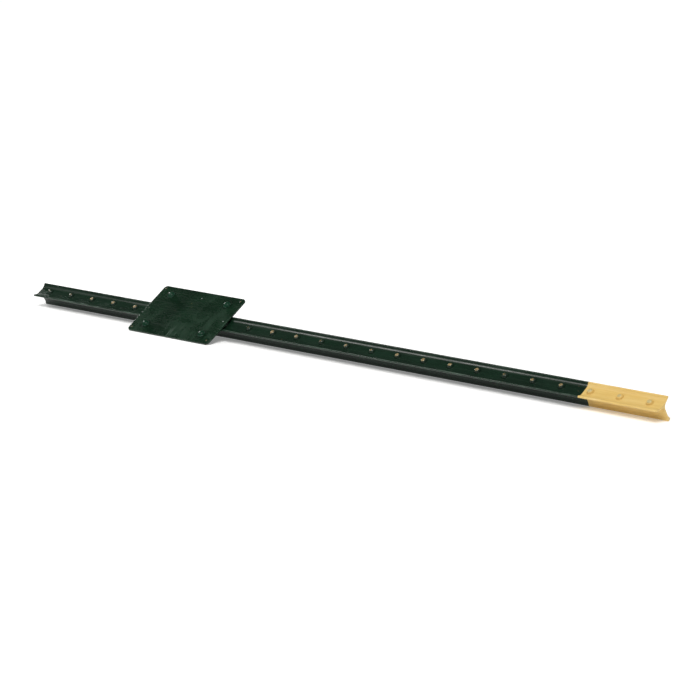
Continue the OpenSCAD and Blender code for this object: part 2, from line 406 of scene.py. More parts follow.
def build_sheet(name, L, W, r, T, holes, grid_x, grid_y, place, counts, nibs=(), front=None, warp=None, attr_fn=None,
                soft_front=0.6, soft_back=0.25):
    """A closed sheet of thickness T. holes are (x, y, radius), nibs (x, y, width, height). place(x, y, h) gives (s, y, v) for arrays, with h from 0 at the back to T at the front."""
    pts, edges = [], []

    def ring(loop):
        a = len(pts)
        pts.extend(loop)
        edges.extend((a + k, a + (k + 1) % len(loop)) for k in range(len(loop)))
        return list(range(a, a + len(loop)))

    insets = [0.0, 0.10, 0.28, 0.6, 1.4]
    outer = None
    for d in insets:
        ids = ring(rounded(L, W, r, d, *counts))
        outer = outer or ids
    hole_rings = []
    for x, y, hr in holes:
        first = None
        for d in (0.0, 0.12, 0.4, 1.0, 2.2, 3.6, 5.5):
            if hr + d > min(L / 2 - abs(x), W / 2 - abs(y)) - 1.5:
                continue
            n = 40
            ids = ring([(x + (hr + d) * math.cos(2 * math.pi * k / n), y + (hr + d) * math.sin(2 * math.pi * k / n)) for k in range(n)])
            first = first or ids
        hole_rings.append(first)
    for x, y, w, h in nibs:
        for q in (0.12, 0.35, 0.6, 0.8, 0.95, 1.12, 1.45):
            rr = w / 2 * q
            n = 20
            ring([(x + rr * math.cos(2 * math.pi * k / n), y + rr * math.sin(2 * math.pi * k / n)) for k in range(n)])
        pts.append((x, y))
    inner = 2.0
    for gx in grid_x:
        for gy in grid_y:
            qx, qy = abs(gx) - (L / 2 - max(r, inner)), abs(gy) - (W / 2 - max(r, inner))
            if abs(gx) > L / 2 - inner or abs(gy) > W / 2 - inner or (qx > 0 and qy > 0 and math.hypot(qx, qy) > max(r, inner) - inner + 1e-6):
                continue
            if any(math.hypot(gx - x, gy - y) < hr + 6.6 for x, y, hr in holes):
                continue
            if any(math.hypot(gx - x, gy - y) < w * 0.5 * 1.45 + 0.8 for x, y, w, h in nibs):
                continue
            pts.append((gx, gy))
    res = delaunay_2d_cdt([Vector(p) for p in pts], edges, [], 0, 1e-6)
    cv, cf, ov = res[0], res[2], res[3]
    xy = np.array([(v.x, v.y) for v in cv])
    of_input = {}
    for n, src in enumerate(ov):
        for q in src:
            of_input[q] = n

    def inside(x, y):
        """Distance inside the outline."""
        rr = max(r, 0.02)
        qx, qy = np.abs(x) - (L / 2 - rr), np.abs(y) - (W / 2 - rr)
        return rr - np.where((qx > 0) & (qy > 0), np.hypot(qx, qy), np.maximum(qx, qy))

    tri = []
    for f in cf:
        if any(all(math.hypot(xy[q][0] - x, xy[q][1] - y) < hr * 1.002 for q in f) for x, y, hr in holes):
            continue
        # a sliver along the straight outline
        mid = np.mean([xy[q] for q in f], 0)
        if float(inside(mid[0], mid[1])) < 0.004:
            continue
        tri.append(list(f))
    n2 = len(xy)
    x, y = xy[:, 0], xy[:, 1]
    dist = np.maximum(inside(x, y), 0)
    for hx, hy, hr in holes:
        dist_h = np.maximum(np.hypot(x - hx, y - hy) - hr, 0)
        dist = np.minimum(dist, dist_h)
    top, low = np.full(n2, float(T)), np.zeros(n2)
    m = dist < soft_front
    top[m] -= soft_front - np.sqrt(np.maximum(soft_front ** 2 - (soft_front - dist[m]) ** 2, 0))
    m = dist < soft_back
    low[m] += soft_back - np.sqrt(np.maximum(soft_back ** 2 - (soft_back - dist[m]) ** 2, 0))
    for nx, ny, w, h in nibs:
        rad = np.hypot(x - nx, y - ny) / (w / 2)
        dome = h * np.where(rad < 1, 0.12 + 0.88 * np.sqrt(np.maximum(1 - rad ** 2, 0)), 0.12 * np.exp(-((rad - 1) / 0.25) ** 2))
        top += np.where(rad < 1.5, dome, 0)
        low += np.where(rad < 1.1, 0.55 * h * np.maximum(1 - rad ** 2, 0), 0)
    if front is not None:
        top = front(x, y, top)
    bend = warp(x, y) if warp is not None else 0.0
    F = place(x, y, top) + np.stack([0 * x, 0 * x, 0 * x + bend], 1)
    B = place(x, y, low) + np.stack([0 * x, 0 * x, 0 * x + bend], 1)
    verts = F.tolist() + B.tolist()
    values = {k: list(v) + list(v) for k, v in (attr_fn(x, y, dist) if attr_fn else {}).items()}
    faces = [tuple(t) for t in tri] + [(t[0] + n2, t[2] + n2, t[1] + n2) for t in tri]
    # walls of the outline and of the holes
    for loop in [outer] + hole_rings:
        ids = [of_input[q] for q in loop]
        rows = [ids]
        steps = 3
        for k in range(1, steps):
            row = []
            for q in ids:
                t = k / steps
                p = np.array(verts[q]) * (1 - t) + np.array(verts[q + n2]) * t
                row.append(len(verts))
                verts.append(p.tolist())
                for key in values:
                    values[key].append(values[key][q] * (0.3 if key == "ridge" else 1))
            rows.append(row)
        rows.append([q + n2 for q in ids])
        for a, b in zip(rows[:-1], rows[1:]):
            for k in range(len(ids)):
                j = (k + 1) % len(ids)
                faces.append((a[k], a[j], b[j], b[k]))
    return make(name, verts, faces, values)


def rivet_places():
    return {"bottom_lower": (-1, -1), "bottom_upper": (-1, 1), "top_lower": (1, -1), "top_upper": (1, 1)}


def build_plate():
    holes = [(sx * RIVET_A / 2, sy * RIVET_B / 2, HOLE / 2) for sx, sy in rivet_places().values()]
    nibs = []
    for s in (-1, 1):
        for q in (-1, 1):
            nibs.append((s * (PLATE_L / 2 - 7.5), q * (7 + PLATE_W / 2 - 14.5), 3.2, 0.9))
        nibs.append((s * (PLATE_L / 2 - 7), 0.0, 3.2, 0.9))
        nibs.append((5.0, s * (PLATE_W / 2 - 15.5), 3.2, 0.9))

    def place(x, y, h):
        return np.stack([PLATE_MID + x, y, STUD_H + h], 1)

    def warp(x, y):
        w = np.array([0.05 + 0.05 * n3(a / 55, b / 55, 1.3) for a, b in zip(x, y)])
        for hx, hy, hr in holes:
            w -= 0.05 * np.exp(-(np.hypot(x - hx, y - hy) / 13) ** 2)
        # one corner knocked forward a little
        w += 0.5 * smooth(62, 98, x) * smooth(28, 57, -y) * 0.6
        return w

    def front(x, y, top):
        # dents and ripples left in the face by handling
        out = top.copy()
        for cx, cy, rx, ry, depth in ((-38, 12, 16, 9, 0.10), (30, -22, 22, 12, 0.12), (58, 8, 13, 18, 0.08), (-70, -20, 10, 13, 0.07), (-8, 34, 20, 8, 0.07)):
            out -= depth * np.exp(-((x - cx) / rx) ** 2 - ((y - cy) / ry) ** 2)
        ripple = np.array([n3(a / 9, b / 9, 5.2) for a, b in zip(x, y)])
        return out + 0.018 * ripple * (top > PLATE_T - 0.02)

    def attrs(x, y, dist):
        near = np.min([np.hypot(x - hx, y - hy) for hx, hy, hr in holes], 0)
        nib = np.min([np.hypot(x - nx, y - ny) for nx, ny, w, h in nibs], 0)
        corner = np.hypot(np.abs(x) - PLATE_L / 2, np.abs(y) - PLATE_W / 2)
        rim = np.minimum(PLATE_L / 2 - np.abs(x), PLATE_W / 2 - np.abs(y))
        return {"ridge": np.exp(-np.maximum(rim, 0) / 0.9), "hollow": np.exp(-np.maximum(near - 7.4, 0) / 1.5) * (near > 5),
                "tip": np.exp(-(nib / 1.5) ** 2), "rnd": np.exp(-corner / 9.0), "ring": smooth(30, -40, y)}

    gx = np.arange(-PLATE_L / 2 + 2.5, PLATE_L / 2, 2.5)
    gy = np.arange(-PLATE_W / 2 + 2.5, PLATE_W / 2, 2.5)
    return build_sheet("plate", PLATE_L, PLATE_W, PLATE_R, PLATE_T, holes, gx, gy, place, (78, 46, 12), nibs=nibs,
                       front=front, warp=warp, attr_fn=attrs)


def build_strip(name, side):
    """A folded strip. Its own x runs along the post and its y from the outer edge to the hook, along the middle of its thickness."""
    t2 = STRIP_T / 2
    leg = HALF + GAP
    fold_c = np.array([leg + STRIP_T + FOLD_R, STUD_H - STRIP_T - FOLD_R])
    hook_u = leg - HOOK_R
    hook_c = np.array([hook_u, back_pt[1] + (hook_u - back_pt[0]) * math.tan(BACK) + HOOK_R / math.cos(BACK)])
    lap = STRIP_EDGE - fold_c[0]
    bend1 = math.pi / 2 * (FOLD_R + t2)
    leg_len = fold_c[1] - hook_c[1]
    turn = math.pi / 2 - BACK
    bend2 = turn * (HOOK_R + t2)
    start = hook_c + (HOOK_R + t2) * back_out
    foot_len = (start[0] - HOOK_END) / math.cos(BACK)
    ends = np.cumsum([lap, bend1, leg_len, bend2, foot_len])
    total = float(ends[-1])

    def place(x, y, h):
        t = np.clip(y + total / 2, 0, total)
        o = h - t2
        u, v = np.zeros_like(t), np.zeros_like(t)
        m = t <= ends[0]
        u[m], v[m] = STRIP_EDGE - t[m], STUD_H - t2 + o[m]
        m = (t > ends[0]) & (t <= ends[1])
        a = math.pi / 2 + (t[m] - ends[0]) / (FOLD_R + t2)
        u[m], v[m] = fold_c[0] + (FOLD_R + t2 + o[m]) * np.cos(a), fold_c[1] + (FOLD_R + t2 + o[m]) * np.sin(a)
        m = (t > ends[1]) & (t <= ends[2])
        u[m], v[m] = leg + t2 - o[m], fold_c[1] - (t[m] - ends[1])
        m = (t > ends[2]) & (t <= ends[3])
        a = -(t[m] - ends[2]) / (HOOK_R + t2)
        u[m], v[m] = hook_c[0] + (HOOK_R + t2 - o[m]) * np.cos(a), hook_c[1] + (HOOK_R + t2 - o[m]) * np.sin(a)
        m = t > ends[3]
        q = t[m] - ends[3]
        u[m] = start[0] - q * math.cos(BACK) - o[m] * back_out[0]
        v[m] = start[1] - q * math.sin(BACK) - o[m] * back_out[1]
        return np.stack([PLATE_MID + x, side * u, v], 1)

    gy = []
    for a, b, step in ((2.2, ends[0], 2.2), (ends[0], ends[1], 0.55), (ends[1], ends[2], 0.9), (ends[2], ends[3], 0.45), (ends[3], total - 2.05, 1.2)):
        n = max(1, int(round((b - a) / step)))
        gy += list(np.linspace(a, b, n + 1))[:-1 if b != total - 2.05 else None]
    gy = [g - total / 2 for g in gy]
    gx = np.arange(-STRIP_L / 2 + 2.5, STRIP_L / 2, 4.0)
    hole_t = STRIP_EDGE - RIVET_B / 2 - total / 2
    holes = [(sx * RIVET_A / 2, hole_t, HOLE / 2) for sx in (-1, 1)]

    def attrs(x, y, dist):
        t = y + total / 2
        return {"ridge": np.exp(-dist / 0.7), "hollow": np.exp(-((t - (ends[0] + ends[1]) / 2) / 3) ** 2),
                "tip": 0 * x, "rnd": 0.5 + 0 * x, "ring": 0 * x}

    return build_sheet(name, STRIP_L, total, 0.4, STRIP_T, holes, gx, gy, place, (60, 36, 3), attr_fn=attrs,
                       soft_front=0.3, soft_back=0.3)


def build_rivet(name, sx, sy, seed):
    """A domed head on the plate, a shank, and a closed end behind the strip, turned about its own axis."""
    R = (HEAD_W ** 2 / 4 + HEAD_H ** 2) / (2 * HEAD_H)
    Rt = (TAIL_W ** 2 / 4 + TAIL_H ** 2) / (2 * TAIL_H)
    top, low = PLATE_T, -STRIP_T
    prof = []
    a0 = math.degrees(math.asin((HEAD_H - R) / R * -1))
    for a in [88.5, 86, 82] + list(np.linspace(77, a0 + 4, 13)):
        prof.append((R * math.cos(math.radians(a)), top + HEAD_H - R + R * math.sin(math.radians(a))))
    edge_r = HEAD_W / 2
    # the head's edge, softly rounded, down to the plate
    prof += [(edge_r - 0.02, top + 0.42), (edge_r, top + 0.28), (edge_r - 0.03, top + 0.14), (edge_r - 0.14, top + 0.04), (edge_r - 0.35, top + 0.01)]
    prof += [(SHANK / 2 + 0.6, top + 0.01), (SHANK / 2, top - 0.4), (SHANK / 2, 0.0), (SHANK / 2, low + 0.4), (SHANK / 2 + 0.5, low - 0.01)]
    tail_r = TAIL_W / 2
    prof += [(tail_r - 0.4, low - 0.01), (tail_r - 0.1, low - 0.06), (tail_r, low - 0.2), (tail_r - 0.03, low - 0.36)]
    t0 = math.degrees(math.asin((TAIL_H - Rt) / Rt * -1))
    for a in list(np.linspace(t0 + 5, 76, 9)) + [82, 87]:
        prof.append((Rt * math.cos(math.radians(a)), low - (TAIL_H - Rt + Rt * math.sin(math.radians(a)))))
    n = 56
    verts, att = [], {"ridge": [], "hollow": [], "tip": [], "rnd": [], "ring": []}
    ox, oy = 0.12 * (rand(seed) - 0.5), 0.12 * (rand(seed + 7) - 0.5)
    for r, z in prof:
        head = z > top + 0.1
        for k in range(n):
            a = 2 * math.pi * k / n
            f = 1.0
            if head or z < low - 0.1:
                f += 0.008 * n3(math.cos(a) * 0.9 + seed, math.sin(a) * 0.9, z * 0.3)
            x, y = r * f * math.cos(a), r * f * math.sin(a)
            dz = 0.0
            if head and r < edge_r - 0.3:
                # soft facets from the set
                dz = 0.03 * n3(x * 0.22 + seed, y * 0.22, seed * 0.7) - 0.04
            if z > top + 0.3:
                x, y = x + ox, y + oy
            verts.append((PLATE_MID + sx * RIVET_A / 2 + x, sy * RIVET_B / 2 + y, STUD_H + z + dz))
            att["ridge"].append(math.exp(-((r - edge_r) / 0.8) ** 2) * (1 if head else 0))
            att["hollow"].append(1.0 if top - 0.1 < z < top + 0.2 and r > 6 else 0.0)
            att["tip"].append(float(smooth(top + 3.4, top + 5.0, z)))
            att["rnd"].append(rand(seed + 3))
            att["ring"].append(0.0)
    m = len(prof)
    faces = [(i * n + k, i * n + (k + 1) % n, (i + 1) * n + (k + 1) % n, (i + 1) * n + k) for i in range(m - 1) for k in range(n)]
    for base, dz in ((0, 0.006), ((m - 1) * n, -0.004)):
        c = np.mean(verts[base:base + n], 0)
        verts.append((c[0], c[1], c[2] + dz))
        for key in att:
            att[key].append(att[key][base])
        faces += [(base + k, base + (k + 1) % n, len(verts) - 1) for k in range(n)]
    return make(name, verts, faces, att)


# ---------------------------------------------------------------- materials
class Mat:
    def __init__(self, name):
        self.m = bpy.data.materials.new(name)
        self.m.use_nodes = True
        self.t = self.m.node_tree
        self.t.nodes.clear()
        self.out = self.t.nodes.new("ShaderNodeOutputMaterial")
        self.p = self.t.nodes.new("ShaderNodeBsdfPrincipled")
        self.link(self.p.outputs[0], self.out.inputs["Surface"])
        self.obj = self.t.nodes.new("ShaderNodeTexCoord").outputs["Object"]

    def link(self, a, b):
        self.t.links.new(a, b)

    def put(self, socket, value):
        if hasattr(value, "is_output"):
            self.link(value, socket)
        elif value is not None:
            socket.default_value = value

    def attr(self, name):
        n = self.t.nodes.new("ShaderNodeAttribute")
        n.attribute_name = name
        return n.outputs["Fac"]

    def local(self, scale=(1, 1, 1), shift=(0, 0, 0)):
        """Coordinates turned so that X runs along the post and Z out of its face, then scaled."""
        a = self.t.nodes.new("ShaderNodeMapping")
        a.inputs["Rotation"].default_value = (-ROLL, 0, 0)
        a.inputs["Location"].default_value = shift
        self.link(self.obj, a.inputs["Vector"])
        b = self.t.nodes.new("ShaderNodeVectorMath")
        b.operation = "MULTIPLY"
        self.link(a.outputs[0], b.inputs[0])
        b.inputs[1].default_value = scale
        return b.outputs[0]

    def noise(self, coord, scale=1.0, detail=3.0, rough=0.5, distort=0.0):
        n = self.t.nodes.new("ShaderNodeTexNoise")
        self.link(coord, n.inputs["Vector"])
        n.inputs["Scale"].default_value = scale
        n.inputs["Detail"].default_value = detail
        n.inputs["Roughness"].default_value = rough
        n.inputs["Distortion"].default_value = distort
        return n.outputs["Fac"]

    def cells(self, coord, scale=1.0, feature="F1"):
        n = self.t.nodes.new("ShaderNodeTexVoronoi")
        n.feature = feature
        self.link(coord, n.inputs["Vector"])
        n.inputs["Scale"].default_value = scale
        return n.outputs["Distance"]

    def math(self, op, a, b=None, c=None, clamp=False):
        n = self.t.nodes.new("ShaderNodeMath")
        n.operation = op
        n.use_clamp = clamp
        for s, v in zip(n.inputs, (a, b, c)):
            self.put(s, v)
        return n.outputs[0]

    def step(self, x, a, b, lo=0.0, hi=1.0):
        n = self.t.nodes.new("ShaderNodeMapRange")
        n.interpolation_type = "SMOOTHSTEP"
        self.put(n.inputs["Value"], x)
        self.put(n.inputs["From Min"], a)
        self.put(n.inputs["From Max"], b)
        self.put(n.inputs["To Min"], lo)
        self.put(n.inputs["To Max"], hi)
        return n.outputs[0]

    def mix(self, f, a, b, mode="MIX"):
        n = self.t.nodes.new("ShaderNodeMix")
        n.data_type = "RGBA"
        n.blend_type = mode
        self.put(n.inputs[0], f)
        for s, v in ((n.inputs[6], a), (n.inputs[7], b)):
            self.put(s, (*v, 1.0) if isinstance(v, tuple) and len(v) == 3 else v)
        return n.outputs[2]

    def mixf(self, f, a, b):
        n = self.t.nodes.new("ShaderNodeMix")
        n.data_type = "FLOAT"
        self.put(n.inputs[0], f)
        self.put(n.inputs[2], a)
        self.put(n.inputs[3], b)
        return n.outputs[0]

    def bump(self, height, strength, distance, normal=None):
        n = self.t.nodes.new("ShaderNodeBump")
        n.inputs["Strength"].default_value = strength
        n.inputs["Distance"].default_value = distance
        self.link(height, n.inputs["Height"])
        if normal is not None:
            self.link(normal, n.inputs["Normal"])
        return n.outputs[0]

    def axis(self, vector, which):
        n = self.t.nodes.new("ShaderNodeSeparateXYZ")
        self.link(vector, n.inputs[0])
        return n.outputs[which]


def green_coat(m, deep, lit, dust):
    """Colour, roughness and height of the dark enamel, shared by every piece."""
    streak = m.noise(m.local((6, 260, 260)), 1.0, 4, 0.6)
    cloud = m.noise(m.local((14, 40, 40), (0.3, 0.1, 0)), 1.0, 3, 0.55)
    fine = m.noise(m.local((700, 700, 700)), 1.0, 2, 0.5)
    col = m.mix(m.step(cloud, 0.32, 0.70), deep, lit)
    col = m.mix(m.step(streak, 0.52, 0.80, 0.0, 0.42), col, dust)
    col = m.mix(m.step(fine, 0.66, 0.80, 0.0, 0.25), col, dust)
    rough = m.mixf(m.step(streak, 0.35, 0.75), 0.22, 0.31)
    rough = m.math("ADD", rough, m.step(cloud, 0.45, 0.8, 0.0, 0.07))
    return col, rough, streak, cloud, fine


def post_material():
    m = Mat("post_enamel")
    tip, rnd, ridge, hollow, ring = (m.attr(k) for k in ("tip", "rnd", "ridge", "hollow", "ring"))
    col, rough, streak, cloud, fine = green_coat(m, (0.0028, 0.0135, 0.0062), (0.0042, 0.0205, 0.0096), (0.017, 0.034, 0.022))

    # rubbed lips and bead, with pale dusty scuffs that come and go
    scuff = m.noise(m.local((26, 300, 300), (0.2, 0, 0)), 1.0, 5, 0.62)
    rub = m.math("MULTIPLY", ridge, m.step(scuff, 0.46, 0.64))
    col = m.mix(m.math("MULTIPLY", rub, 0.60), col, (0.085, 0.130, 0.100))
    rough = m.math("ADD", rough, m.step(scuff, 0.35, 0.65, 0.0, 0.12))
    rough = m.mixf(rub, rough, 0.5)
    # painted shade: darker in the hollows and round the foot of each stud, which are also rougher
    col = m.mix(m.math("MULTIPLY", hollow, 0.60), col, (0.0022, 0.0090, 0.0050))
    rough = m.mixf(m.step(hollow, 0.35, 0.95, 0.0, 0.9), rough, 0.70)
    # small brown chips
    chip_at = m.cells(m.local((110, 160, 160), (0.4, 0.2, 0.1)), 1.0)
    chip_on = m.step(m.noise(m.local((30, 30, 30), (0.7, 0, 0)), 1.0, 2), 0.60, 0.72)
    frayed = m.noise(m.local((520, 760, 760), (0.8, 0.1, 0)), 1.0, 4, 0.7)
    chip = m.math("MULTIPLY", m.step(m.math("ADD", chip_at, m.math("MULTIPLY", frayed, 0.36)), 0.33, 0.28), chip_on)
    col = m.mix(m.math("MULTIPLY", chip, 0.8), col, (0.115, 0.078, 0.040))

    # stud tips: worn through to a tan undercoat, ragged at the edge
    ragged = m.noise(m.local((520, 520, 520), (0.1, 0.5, 0)), 1.0, 4, 0.66)
    worn_at = m.math("ADD", tip, m.math("MULTIPLY", m.math("SUBTRACT", ragged, 0.5), 1.15))
    low = m.step(rnd, 0.0, 1.0, 0.70, 1.06)
    worn = m.step(m.math("SUBTRACT", worn_at, low), -0.05, 0.10)
    halo = m.step(m.math("SUBTRACT", worn_at, low), -0.22, 0.02)
    tan = m.mix(m.step(ragged, 0.35, 0.65), (0.115, 0.080, 0.034), (0.370, 0.280, 0.135))
    green_col = m.mix(m.math("MULTIPLY", halo, 0.55), col, (0.040, 0.036, 0.018))
    green_col = m.mix(m.math("MULTIPLY", worn, 0.92), green_col, tan)
    green_rough = m.mixf(worn, rough, 0.42)

    # the cream end
    x = m.axis(m.obj, 0)
    wobble = m.math("MULTIPLY", m.math("SUBTRACT", m.noise(m.local((160, 160, 160)), 1.0, 2), 0.5), 0.0009)
    cream_on = m.step(m.math("ADD", x, wobble), (LENGTH / 2 - TIP) / 1000 - 0.00015, (LENGTH / 2 - TIP) / 1000 + 0.00015)
    grain = m.noise(m.local((22, 420, 420), (0.9, 0.1, 0.2)), 1.0, 4, 0.6)
    cream = m.mix(m.step(grain, 0.34, 0.68), (0.660, 0.445, 0.135), (0.715, 0.505, 0.170))
    cream = m.mix(m.step(cloud, 0.40, 0.75, 0.0, 0.30), cream, (0.800, 0.625, 0.290))
    # the coat is thin on the ridges; the deeper, darker colour in the hollows is painted shade
    cream = m.mix(m.math("MULTIPLY", hollow, 0.34), cream, (0.560, 0.330, 0.080))
    cream = m.mix(m.math("MULTIPLY", m.math("MULTIPLY", ridge, m.step(scuff, 0.52, 0.70)), 0.35), cream, (0.930, 0.850, 0.600))
    cream = m.mix(m.math("MULTIPLY", chip, 0.75), cream, (0.190, 0.105, 0.040))
    # on the studs the green shows through, greyed
    shows = m.step(m.math("SUBTRACT", m.math("ADD", tip, m.math("MULTIPLY", m.math("SUBTRACT", ragged, 0.5), 0.9)), m.step(rnd, 0.0, 1.0, 0.40, 0.75)), -0.10, 0.16)
    # a darker ring round the foot of each stud: painted shade
    cream = m.mix(m.math("MULTIPLY", ring, 0.45), cream, (0.500, 0.300, 0.085))
    cream = m.mix(m.math("MULTIPLY", shows, 0.70), cream, m.mix(m.step(ragged, 0.35, 0.65), (0.330, 0.290, 0.140), (0.480, 0.420, 0.220)))
    cream_rough = m.mixf(m.step(grain, 0.3, 0.7), 0.40, 0.52)
    # a thin dark line where the cream coat ends
    seam = m.math("MULTIPLY", m.step(m.math("ABSOLUTE", m.math("SUBTRACT", x, (LENGTH / 2 - TIP) / 1000 + 0.0001)), 0.0009, 0.0), 0.45)

    colour = m.mix(cream_on, green_col, cream)
    colour = m.mix(seam, colour, (0.030, 0.040, 0.018))
    m.link(colour, m.p.inputs["Base Color"])
    m.link(m.mixf(cream_on, green_rough, cream_rough), m.p.inputs["Roughness"])
    grimy = m.step(hollow, 0.35, 0.95)
    m.link(m.mixf(grimy, 0.34, 0.06), m.p.inputs["Specular IOR Level"])
    m.link(m.mixf(grimy, 0.12, 0.0), m.p.inputs["Coat Weight"])
    m.p.inputs["Coat Roughness"].default_value = 0.18

    lines = m.noise(m.local((3, 900, 900), (0.5, 0, 0)), 1.0, 3, 0.6)
    peel = m.noise(m.local((330, 330, 330), (0, 0.3, 0)), 1.0, 2, 0.5)
    n = m.bump(lines, 0.35, 0.00012)
    n = m.bump(peel, 0.30, 0.00016, n)
    n = m.bump(m.math("SUBTRACT", 1.0, m.math("MAXIMUM", chip, m.math("MULTIPLY", worn, 0.7))), 0.6, 0.00012, n)
    m.link(n, m.p.inputs["Normal"])
    return m.m


def plate_material():
    m = Mat("plate_enamel")
    ridge, hollow, nib, corner, low = (m.attr(k) for k in ("ridge", "hollow", "tip", "rnd", "ring"))
    col, rough, streak, cloud, fine = green_coat(m, (0.0018, 0.0130, 0.0050), (0.0030, 0.0185, 0.0074), (0.008, 0.026, 0.013))
    # chalky clouds, mostly on the lower half and toward the post's top end, wiped across
    x = m.axis(m.obj, 0)
    chalk = m.noise(m.local((34, 22, 22), (0.13, 0.4, 0)), 1.0, 5, 0.62, 0.7)
    wipe = m.noise(m.local((150, 26, 26), (0.6, 0.2, 0)), 1.0, 4, 0.6, 0.4)
    mid = (PLATE_MID - LENGTH / 2) / 1000
    where = m.math("ADD", m.math("MULTIPLY", low, 0.65), m.step(x, mid - 0.02, mid + 0.06, 0.12, 0.55), clamp=True)
    amount = m.math("MULTIPLY", m.step(chalk, 0.40, 0.68), where)
    amount = m.math("MULTIPLY", amount, m.step(wipe, 0.25, 0.75, 0.40, 1.0))
    col = m.mix(m.math("MULTIPLY", amount, 0.48), col, (0.036, 0.074, 0.048))
    # a darker band where the coat ran thick
    band = m.step(m.math("ABSOLUTE", m.math("SUBTRACT", x, mid - 0.036)), 0.030, 0.006)
    col = m.mix(m.math("MULTIPLY", band, m.step(wipe, 0.3, 0.6, 0.35, 0.75)), col, (0.0014, 0.0100, 0.0040))
    # pale scuffs dragged down to the lower edge
    drag = m.noise(m.local((210, 34, 34), (0.2, 0.9, 0)), 1.0, 4, 0.62, 0.5)
    drag_on = m.math("MULTIPLY", m.step(low, 0.80, 1.0), m.step(m.math("ABSOLUTE", m.math("SUBTRACT", x, mid + 0.004)), 0.052, 0.020))
    drag = m.math("MULTIPLY", m.step(drag, 0.54, 0.70), drag_on)
    col = m.mix(m.math("MULTIPLY", drag, 0.55), col, (0.085, 0.125, 0.098))
    amount = m.math("MAXIMUM", amount, drag)
    rough = m.mixf(amount, rough, 0.38)
    # fine scratches in two directions
    s1 = m.step(m.noise(m.local((40, 1500, 1500), (0.2, 0.2, 0)), 1.0, 2, 0.4, 0.2), 0.70, 0.78)
    s2 = m.step(m.noise(m.local((900, 60, 60), (0.4, 0.1, 0)), 1.0, 2, 0.4, 0.3), 0.71, 0.80)
    scratch = m.math("MULTIPLY", m.math("MAXIMUM", s1, s2), m.step(m.noise(m.local((25, 25, 25), (0.9, 0, 0)), 1.0, 2), 0.45, 0.62))
    col = m.mix(m.math("MULTIPLY", scratch, 0.30), col, (0.150, 0.210, 0.165))
    # rubbed arris, lighter, partly a painted highlight along the edge; chips at the corners and on the nibs
    ragged = m.noise(m.local((300, 300, 300), (0.3, 0.1, 0)), 1.0, 4, 0.65)
    rub = m.math("MULTIPLY", m.step(ridge, 0.45, 1.0), m.step(ragged, 0.42, 0.66))
    col = m.mix(m.math("MULTIPLY", rub, 0.55), col, (0.120, 0.185, 0.135))
    spots = m.step(m.math("ADD", m.math("MULTIPLY", ragged, 1.0), m.math("MULTIPLY", corner, 0.30)), 0.80, 0.86)
    chip = m.math("MULTIPLY", spots, m.step(corner, 0.15, 0.6))
    col = m.mix(m.math("MULTIPLY", chip, 0.85), col, (0.330, 0.235, 0.120))
    tan = m.math("MULTIPLY", m.step(nib, 0.30, 0.75), m.step(corner, 0.10, 0.45))
    col = m.mix(m.math("MULTIPLY", tan, 0.70), col, (0.300, 0.230, 0.120))
    # a few tan specks
    speck_at = m.cells(m.local((95, 95, 95), (0.15, 0.35, 0.1)), 1.0)
    speck_on = m.step(m.noise(m.local((26, 26, 26), (0.35, 0.6, 0)), 1.0, 2), 0.58, 0.68)
    frayed = m.noise(m.local((620, 620, 620), (0.8, 0.1, 0)), 1.0, 4, 0.7)
    speck_at = m.math("ADD", speck_at, m.math("ADD", m.math("MULTIPLY", ragged, 0.30), m.math("MULTIPLY", frayed, 0.30)))
    speck = m.math("MULTIPLY", m.step(speck_at, 0.42, 0.36), speck_on)
    col = m.mix(m.math("MULTIPLY", speck, 0.55), col, (0.230, 0.175, 0.090))
    # painted shade round the rivet heads
    col = m.mix(m.math("MULTIPLY", hollow, 0.85), col, (0.0012, 0.0050, 0.0026))
    grimy = m.step(hollow, 0.2, 0.8)
    rough = m.mixf(m.math("MULTIPLY", grimy, 0.9), rough, 0.60)
    m.link(col, m.p.inputs["Base Color"])
    m.link(rough, m.p.inputs["Roughness"])
    m.link(m.mixf(m.math("MAXIMUM", grimy, m.math("MULTIPLY", amount, 0.9)), 0.20, 0.03), m.p.inputs["Specular IOR Level"])
    m.link(m.mixf(grimy, 0.06, 0.0), m.p.inputs["Coat Weight"])
    m.p.inputs["Coat Roughness"].default_value = 0.22
    peel = m.noise(m.local((240, 240, 240), (0, 0.3, 0)), 1.0, 3, 0.5)
    n = m.bump(peel, 0.35, 0.00020)
    n = m.bump(m.math("SUBTRACT", 1.0, m.math("MAXIMUM", chip, m.math("MULTIPLY", scratch, 0.4))), 0.5, 0.0001, n)
    m.link(n, m.p.inputs["Normal"])
    return m.m


def strip_material():
    m = Mat("strip_enamel")
    ridge, hollow = m.attr("ridge"), m.attr("hollow")
    col, rough, streak, cloud, fine = green_coat(m, (0.0030, 0.0145, 0.0070), (0.0042, 0.0200, 0.0100), (0.015, 0.029, 0.020))
    ragged = m.noise(m.local((280, 280, 280), (0.1, 0.7, 0)), 1.0, 4, 0.6)
    rub = m.math("MULTIPLY", m.step(ridge, 0.3, 0.95), m.step(ragged, 0.45, 0.62))
    col = m.mix(m.math("MULTIPLY", rub, 0.55), col, (0.130, 0.170, 0.130))
    # darker along the fold, under the plate: painted shade
    col = m.mix(m.math("MULTIPLY", hollow, 0.35), col, (0.005, 0.016, 0.010))
    rust = m.math("MULTIPLY", m.step(m.noise(m.local((60, 60, 60), (0.4, 0.4, 0)), 1.0, 4, 0.6), 0.60, 0.72), ridge)
    col = m.mix(m.math("MULTIPLY", rust, 0.6), col, (0.110, 0.055, 0.025))
    m.link(col, m.p.inputs["Base Color"])
    m.link(rough, m.p.inputs["Roughness"])
    peel = m.noise(m.local((300, 300, 300), (0, 0.3, 0)), 1.0, 3, 0.5)
    m.link(m.bump(peel, 0.35, 0.00018), m.p.inputs["Normal"])
    return m.m


